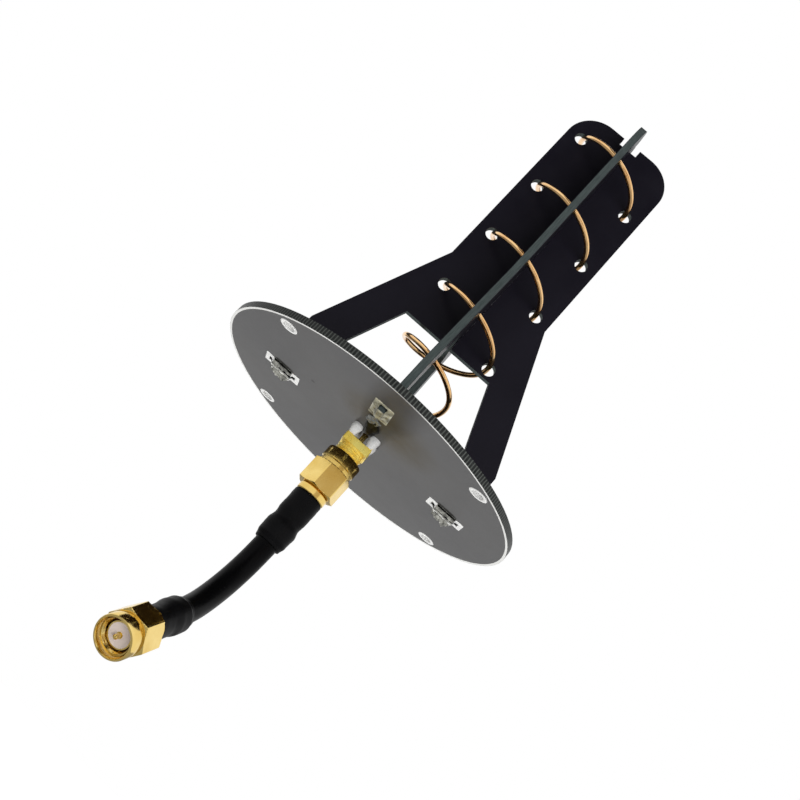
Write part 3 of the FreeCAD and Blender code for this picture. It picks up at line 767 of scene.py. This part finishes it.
def addTabCap(shape, place, number):
    # the skin of solder on the tab's end, with a bright strip along its middle
    cap = tabPads["cap"]
    capX, capY = cap["half"]
    bottom = bmesh.ops.create_grid(shape, x_segments=28, y_segments=8, size=1)["verts"]
    parts = dict.fromkeys(part for vert in bottom for part in [vert, *vert.link_edges, *vert.link_faces])
    made = bmesh.ops.extrude_face_region(shape, geom=list(parts), use_keep_orig=True)["geom"]
    lifted = {item for item in made if isinstance(item, bmesh.types.BMVert)}
    for vert in list(bottom) + list(lifted):
        u, v = vert.co.x * capX, vert.co.y * capY
        rough = noise.noise(Vector((u * 1.1, v * 1.7, number * 3.0)))
        rough += 0.5 * noise.noise(Vector((u * 3.3, v * 3.3, 2.0)))
        border = min(1, (capX - abs(u)) / cap["border"], (capY - abs(v)) / cap["border"])
        rise = (cap["film"] + 0.16 * max(0, 0.4 + rough)) * border if vert in lifted else -cap["sunk"]
        vert.co = place @ (Vector((u, v, -(cap["height"] + rise))) * mm)
    for face in {face for vert in list(bottom) + list(lifted) for face in vert.link_faces}:
        across = (place.inverted() @ face.calc_center_median()).y
        face.material_index = 0 if abs(across) < cap["bare"] * mm else 1


def addTabPad(number, angle):
    outer = roundedLoop(*tabPads["half"], tabPads["corner"], tabPads["around"])
    inner = roundedLoop(*tabPads["slot"], tabPads["slot"][1], tabPads["around"])
    tabX, tabY = tabPads["tab"]
    inner = [Vector((p.x, math.copysign(tabY, p.y))) if abs(p.x) < tabX else p for p in inner]
    turn = Matrix.Rotation(math.radians(angle), 4, "Z")
    place = Matrix.Translation((0, 0, discBack)) @ turn @ Matrix.Translation((tabPads["place"] * mm, 0, 0))
    heapSide = round(math.cos(math.radians(angle)))     # only the wide blade's pads, towards +Y
    shape = bmesh.new()
    rows = []
    count = tabPads["rings"]
    for k in range(count + 1):
        row = []
        for a, b in zip(inner, outer):
            p = a.lerp(b, k / count)
            height = solderHeight(p.x, p.y, (b - p).length, number * 7.0, heapSide)
            row.append(shape.verts.new(place @ (Vector((p.x, p.y, -height)) * mm)))
        rows.append(row)
    for loop in (outer, inner):
        rows.append([shape.verts.new(place @ (Vector((p.x, p.y, 0)) * mm)) for p in loop])
    around = tabPads["around"]
    shadeHalfX, shadeHalfY = tabPads["paintedShade"]
    for k in range(len(rows)):
        here, there = rows[k], rows[(k + 1) % len(rows)]
        for n in range(around):
            m = (n + 1) % around
            face = shape.faces.new([here[n], here[m], there[m], there[n]])
            middle = (inner[n] + outer[n]) / 2 if k >= count else inner[n].lerp(outer[n], (k + 0.5) / count)
            if abs(middle.x) < tabX - 0.1:
                # painted shadow: on the wide blade's pads, the strip along the edge towards -Y is painted
                # near-black where the tabs' shadows fall
                isShadowed = (turn @ Vector((0, middle.y, 0))).y < -tabPads["shadowFrom"]
                face.material_index = 2 if isShadowed else 1
            # painted shade: near-black round the slot's ends, where the holes are
            elif abs(middle.x) < shadeHalfX and abs(middle.y) < shadeHalfY:
                face.material_index = 2
    addTabCap(shape, place, number)
    mesh = smooth(closeShape(shape, "tab_pad_%d" % number), 50)
    # the third finish on each pad is the painted shade
    for finish in tabPads["finishes"].get(number, ("tinned", "smeared", "paintedShade")):
        mesh.materials.append(finishes[finish])
    piece = addPiece("tab_pad_%d" % number, mesh)
    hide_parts("tab_solder_%d" % number)


for number in range(4):
    addTabPad(number + 1, 90 * number)
print("tab pads soldered")

# solder drops on the jack's legs, a grey smear that the soldering left, and a near-black lump of painted
# shadow under the jack's flange
# outline: (along, radius) points

legDrops = {
    "spacing": 5.08,
    "drawn": 0.26,              # each drop sits this much nearer the middle along X
    "uneven": 0.13,
    "outline": [(0.0, 1.12), (0.5, 1.20), (1.1, 1.12), (1.8, 0.92), (2.3, 0.84), (2.48, 0.80)],
}
jackLumps = [
    # painted shadow: a near-black lump laid where the jack's flange casts its shadow on the disc
    {"place": (0.1, -10.6), "half": (1.8, 4.4), "height": 0.55, "finish": "paintedShade"},
    {"place": (-0.3, -14.9), "half": (1.5, 2.3), "height": 0.42, "finish": "jackLumps"},
]


def addLegDrop(number, signX, signY):
    half = legDrops["spacing"] / 2
    top = legDrops["outline"][-1][0]
    outline = scaled([(0.0, top), (0.0, 0.0)] + eased(legDrops["outline"], 4))
    place = jackPlace @ Matrix.Translation((signX * (half - legDrops["drawn"]) * mm, -signY * half * mm, 0))

    def uneven(radius, along, turned):
        if radius == 0:
            return 0
        where = Vector((math.cos(turned), math.sin(turned), along / mm)) * 0.9 + Vector((number * 4, 0, 0))
        return legDrops["uneven"] * mm * noise.noise(where)

    mesh = smooth(lathe("leg_drop_%d" % number, outline, place, steps=32, wobble=uneven), 60)
    mesh.materials.append(finishes["tinned"])
    piece = addPiece("leg_drop_%d" % number, mesh)
    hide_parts("leg_solder_%d" % number)


for number, (signX, signY) in enumerate([(x, y) for x in (-1, 1) for y in (-1, 1)]):
    addLegDrop(number + 1, signX, signY)


def addJackLumps():
    shape = bmesh.new()
    for n, lump in enumerate(jackLumps):
        made = bmesh.ops.create_uvsphere(shape, u_segments=48, v_segments=24, radius=1)["verts"]
        x, y = lump["place"]
        halfX, halfY = lump["half"]
        for vert in made:
            uneven = 1 + 0.45 * noise.noise(vert.co * 1.6 + Vector((3 + 5 * n, 0, 0)))
            rise = lump["height"] * vert.co.z * uneven if vert.co.z < 0 else 0.02 * vert.co.z
            vert.co = Vector((x + vert.co.x * halfX * uneven, y + vert.co.y * halfY * uneven,
                              rise - layout["board"])) * mm
        for face in {face for vert in made for face in vert.link_faces}:
            face.material_index = n
    mesh = smooth(closeShape(shape, "smear_and_painted_shadow"), 60)
    for lump in jackLumps:
        mesh.materials.append(finishes[lump["finish"]])
    piece = addPiece("smear_and_painted_shadow", mesh)


addJackLumps()
print("jack soldered")

# jack: square flange on four legs and a threaded barrel

jackSizes = {
    "flange": (3.175, 2.5, 4.2),            # half width, from, to
    "bore": 2.2,
    "bevel": 0.14,
    "relief": 2.675,
    "reliefStep": 0.25,
    "thread": (2.93, 0.17, 0.7056),         # middle radius, depth, pitch
    "threadFrom": 4.9,
    "threadTo": 9.9,
    "face": 10.3,
    "socket": (2.5, 8.4),                   # radius, floor
    "barrelRoot": 0.2,                      # how deep the barrel and the legs start in the flange
    "legRoot": 0.3,
    "leg": 0.5,
    "legTail": 2.6,
}


def threadLine(middle, start, end, pitch):
    # (radius, along) points for a thread, eight to a turn
    count = int(abs(end - start) / pitch * 8)
    return [(middle, start + (end - start) * n / count) for n in range(count + 1)]


def jackFlange():
    flat, bottom, top = jackSizes["flange"]
    bevel, bore = jackSizes["bevel"], jackSizes["bore"]
    widest = flat * math.sqrt(2) - bevel
    outline = [(bore, bottom), (flat - bevel, bottom, 4, widest - bevel), (flat, bottom + bevel, 4, widest),
               (flat, top - bevel, 4, widest), (flat - bevel, top, 4, widest - bevel), (bore, top)]
    squared = jackPlace @ Matrix.Rotation(math.radians(45), 4, "Z")
    return lathe("jack_shell", scaled(outline), squared, steps=192)


def jackBarrel():
    middle, depth, pitch = jackSizes["thread"]
    threadFrom, threadTo = jackSizes["threadFrom"], jackSizes["threadTo"]
    bore, relief, face = jackSizes["bore"], jackSizes["relief"], jackSizes["face"]
    socketRadius, socketFloor = jackSizes["socket"]
    root = jackSizes["flange"][1] + jackSizes["barrelRoot"]
    outline = [(bore, root), (relief, root), (relief, threadFrom - jackSizes["reliefStep"])]
    outline += threadLine(middle, threadFrom, threadTo, pitch)
    outline += [(relief, face), (socketRadius, face), (socketRadius, socketFloor), (bore, socketFloor)]
    return lathe("barrel", scaled(outline), jackPlace, wobble=threadCut(middle, depth, pitch))


def addJack():
    shape = bmesh.new()
    shape.from_mesh(jackFlange())
    shape.from_mesh(jackBarrel())
    half = legDrops["spacing"] / 2
    side = jackSizes["leg"] * 2 * mm
    low, high = -jackSizes["legTail"], jackSizes["flange"][1] + jackSizes["legRoot"]
    for x in (-half, half):
        for y in (-half, half):
            made = bmesh.ops.create_cube(shape, size=1)
            bmesh.ops.scale(shape, vec=(side, side, (high - low) * mm), verts=made["verts"])
            bmesh.ops.transform(shape, verts=made["verts"], matrix=jackPlace @ Matrix.Translation(
                (x * mm, y * mm, (high + low) / 2 * mm)))
    mesh = smooth(closeShape(shape, "jack_shell"))
    # the lit copy of the gold, painted brighter than the plugs' gold
    mesh.materials.append(finishes["litJackGold"])
    piece = addPiece("jack_shell", mesh)
    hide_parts("jack_body")


addJack()
print("jack made")

# coupling nuts: round front with a threaded mouth, hexagon behind

nutSizes = {
    "front": 3.93,
    "frontEnd": 3.5,
    "bevel": 0.3,
    "groove": (2.4, 2.62, 0.22),            # from, to, depth
    "flat": 4.0,
    "widest": 4.57,                         # the corners are turned down to this radius
    "hexEnd": 9.2,
    "chamferSlope": 0.45,
    "chamferSteps": (0.0, 0.08, 0.16, 0.24),
    "mouth": (3.5, 3.2, 0.5, 1.3),          # mouth, bore, bevel, bore's end
    "thread": (3.03, 0.15, 0.7056),         # middle radius, depth, pitch
    "threadEnd": 5.5,
    "room": (3.45, 5.55, 6.65),             # radius, from, to
    "rear": 2.8,
    "nearTurn": 44.7,                       # degrees that each hexagon is turned about its axis
    "farTurn": 56,
}


def nutOutline():
    front, frontEnd, bevel = nutSizes["front"], nutSizes["frontEnd"], nutSizes["bevel"]
    grooveFrom, grooveTo, grooveDepth = nutSizes["groove"]
    flat, widest, hexEnd = nutSizes["flat"], nutSizes["widest"], nutSizes["hexEnd"]
    mouth, bore, mouthBevel, boreEnd = nutSizes["mouth"]
    middle, _, pitch = nutSizes["thread"]
    room, roomFrom, roomEnd = nutSizes["room"]
    slope, rear = nutSizes["chamferSlope"], nutSizes["rear"]
    outline = [(mouth, 0.0), (front - bevel, 0.0), (front - bevel * 0.3, bevel * 0.3), (front, bevel)]
    outline += [(front, grooveFrom), (front - grooveDepth, grooveTo), (front - grooveDepth, frontEnd)]
    chamfers = [*nutSizes["chamferSteps"], (widest - flat) * slope]
    outline += [(flat, frontEnd + rise, 6, flat + rise / slope) for rise in chamfers]
    outline += [(flat, hexEnd - rise, 6, flat + rise / slope) for rise in reversed(chamfers)]
    outline += [(rear, hexEnd), (rear, roomEnd), (room, roomEnd), (room, roomFrom)]
    outline += threadLine(middle, nutSizes["threadEnd"], boreEnd, pitch)
    outline += [(bore, boreEnd), (bore, mouthBevel)]
    return scaled(outline)


def addNut(name, place, degrees, node, body):
    placed = place @ Matrix.Rotation(math.radians(degrees), 4, "Z")
    mesh = smooth(lathe(name, nutOutline(), placed, steps=192, wobble=threadCut(*nutSizes["thread"])))
    mesh.materials.append(finishes["gold"])
    piece = addPiece(name, mesh, body)
    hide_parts(node)
    return piece


addNut("near_nut", nearPlace, nutSizes["nearTurn"], "near_coupling_nut", "antenna")
farNut = addNut("far_nut_shell", farPlace, nutSizes["farTurn"], "far_coupling_nut", "far_nut")
print("nuts turned")

# shrunk sleeves: smooth over the ferrule, wrinkled where they close on the cable
# shape: (along, radius) points

sleeves = {
    "front": 11.0,
    "neckEnd": 17.5,
    "ferrule": 2.86,
    "cable": 2.5,
    "edge": 0.05,               # above the cable, at the very end
    "grip": 0.15,               # into the cable
    "lipStart": (0.14, 0.0875),     # the lip turns in this far before the end, and this much lower
    "gripStart": 0.3,
    "wrinkle": 0.07,
    "plainUnder": 2.95,         # no wrinkles inside this radius
    "near": {
        "back": 23.4,
        "seed": (2.0, 7.0, 0),
        "shape": [(11.0, 3.18), (11.25, 3.26), (15.4, 3.25), (17.4, 3.08), (19.2, 3.44), (21.7, 3.36),
                  (23.0, 3.02)],
    },
    "far": {
        "back": 21.3,
        "seed": (9.0, 1.0, 0),
        "shape": [(11.0, 3.02), (11.25, 3.08), (14.5, 3.08), (17.3, 3.38), (19.6, 3.36), (20.7, 3.05)],
    },
}


def addSleeve(side, place):
    ferrule, neckEnd = sleeves["ferrule"], sleeves["neckEnd"]
    inside = sleeves["cable"] - sleeves["grip"]
    back, shape = sleeves[side]["back"], sleeves[side]["shape"]
    before, lower = sleeves["lipStart"]
    outline = [(ferrule, neckEnd), (ferrule, sleeves["front"])]
    outline += eased(shape, 10)
    outline += [(shape[-1][1] - lower, back - before), (sleeves["cable"] + sleeves["edge"], back),
                (inside, back - sleeves["gripStart"]), (inside, neckEnd)]
    seed = Vector(sleeves[side]["seed"])

    def wrinkles(radius, along, turned):
        if radius < sleeves["plainUnder"] * mm:
            return 0
        ring = Vector((math.cos(turned) * 0.9, math.sin(turned) * 0.9, along / mm * 0.55)) + seed
        fine = Vector((math.cos(turned) * 1.6, math.sin(turned) * 1.6, along / mm * 1.9)) + seed
        return sleeves["wrinkle"] * mm * (noise.noise(ring) + 0.35 * noise.noise(fine))

    mesh = smooth(lathe(side + "_sleeve", scaled(outline), place, wobble=wrinkles), 50)
    mesh.materials.append(finishes["sleeve"])
    piece = addPiece(side + "_sleeve", mesh)
    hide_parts(side + "_heat_shrink")
    return piece


addSleeve("near", nearPlace)
farSleeve = addSleeve("far", farPlace)
print("sleeves shrunk")

# cable: the same route as the CAD cable's, in mm

cableSizes = {"diameter": 5.0 * mm, "sides": 16}
cableRoute = [
    (0, -4.0, -25.5),
    (0, -4.0, -33.6),
    (-0.4, -6.4, -41.3),
    (-1.1, -11.1, -47.8),
    (-1.9, -15.7, -52.0),
    (-3.1, -20.4, -55.3),
]


def addCable():
    curve = splineCurve("cableJacket", [Vector(p) * mm for p in cableRoute])
    line = lineOf(curve)
    length = sum((b - a).length for a, b in zip(line, line[1:]))
    curve.bevel_depth = cableSizes["diameter"] / 2
    curve.bevel_resolution = cableSizes["sides"] // 2
    curve.use_fill_caps = True
    curve.materials.append(finishes["jacket"])
    piece = addPiece("cable_jacket", curve)
    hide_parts("cable")
    return piece, line[0], length


cable, cableExit, cableLength = addCable()
print("cable length: %.1f mm" % (cableLength / mm))

# light, floor and background, in metres

studio = {
    "worldLight": 0.34,         # on the object; the camera and shiny surfaces see the world at 1
    "lamps": {
        "key": {"place": (-0.04, 0.52, -0.30), "size": 0.1, "power": 4.8},
        "fill": {"place": (0.25, -0.5, -0.05), "size": 0.4, "power": 2.3},
    },
    "cards": {
        "upperCard": {"place": (-0.22, 0.10, 0.65), "colour": (0.02, 0.012, 0.006)},
        "cameraCard": {"place": (-0.15, -0.75, 0.62), "colour": (0.02, 0.012, 0.006)},
        "sideCard": {"place": (0.46, -0.80, 0.26), "colour": (0.60, 0.53, 0.45)},
    },
    "cardSize": 0.6,
    "floor": {"size": 3.0, "height": -0.13, "colour": (0.86, 0.86, 0.86), "glow": 0.9},
}


def squareMesh(name, size):
    shape = bmesh.new()
    bmesh.ops.create_grid(shape, x_segments=1, y_segments=1, size=size / 2)
    mesh = bpy.data.meshes.new(name)
    shape.to_mesh(mesh)
    shape.free()
    return mesh


def addLamp(name, place, size, power):
    data = bpy.data.lights.new(name, "AREA")
    data.size = size
    data.energy = power
    thing = bpy.data.objects.new(name, data)
    bpy.context.scene.collection.objects.link(thing)
    thing.location = place
    thing.rotation_mode = "QUATERNION"
    thing.rotation_quaternion = (-Vector(place)).to_track_quat("-Z", "Y")
    thing.visible_glossy = False        # shiny surfaces see the white room and the cards instead


def addCard(name, place, colour):
    # a dark or tan card that only shiny surfaces see, as a photographer sets one beside metal
    mesh = squareMesh(name, studio["cardSize"])
    facing = Vector(place).to_track_quat("Z", "Y").to_matrix().to_4x4()
    mesh.transform(Matrix.Translation(place) @ facing)
    material, _, shader = newMaterial(name, Roughness=1.0, Specular_IOR_Level=0.0, Emission_Strength=1.0)
    shader.inputs["Base Color"].default_value = (0, 0, 0, 1)
    shader.inputs["Emission Color"].default_value = (*colour, 1)
    mesh.materials.append(material)
    card = addPiece(name, mesh, None)
    card.visible_camera = False
    card.visible_diffuse = False
    card.visible_shadow = False
    card.visible_transmission = False


def addWorld():
    world = bpy.data.worlds.new("studio")
    bpy.context.scene.world = world
    world.use_nodes = True
    tree = world.node_tree
    background = tree.nodes["Background"]
    background.inputs["Color"].default_value = (1, 1, 1, 1)
    path = addNode(tree, "ShaderNodeLightPath")
    seen = calculate(tree, "MAXIMUM", path.outputs["Is Camera Ray"], path.outputs["Is Glossy Ray"])
    seen = calculate(tree, "MAXIMUM", seen, path.outputs["Is Transmission Ray"])
    tree.links.new(between(tree, seen, 0, 1, studio["worldLight"], 1.0), background.inputs["Strength"])


def addFloor():
    sizes = studio["floor"]
    mesh = squareMesh("floor", sizes["size"])
    mesh.transform(Matrix.Translation((0, 0, sizes["height"])))
    floor = addPiece("floor", mesh, None)
    floor.visible_shadow = False        # the key lamp shines up through it, as through a light table
    material, tree, shader = newMaterial("paleFloor", Roughness=0.9)
    shader.inputs["Base Color"].default_value = (*sizes["colour"], 1)
    shader.inputs["Emission Color"].default_value = (1, 1, 1, 1)
    isSeen = addNode(tree, "ShaderNodeLightPath").outputs["Is Camera Ray"]
    tree.links.new(between(tree, isSeen, 0, 1, 0.0, sizes["glow"]), shader.inputs["Emission Strength"])
    mesh.materials.append(material)


addWorld()
for name, lamp in studio["lamps"].items():
    addLamp(name, **lamp)
for name, card in studio["cards"].items():
    addCard(name, **card)
addFloor()
bpy.context.scene.view_settings.view_transform = "Standard"
print("studio set")
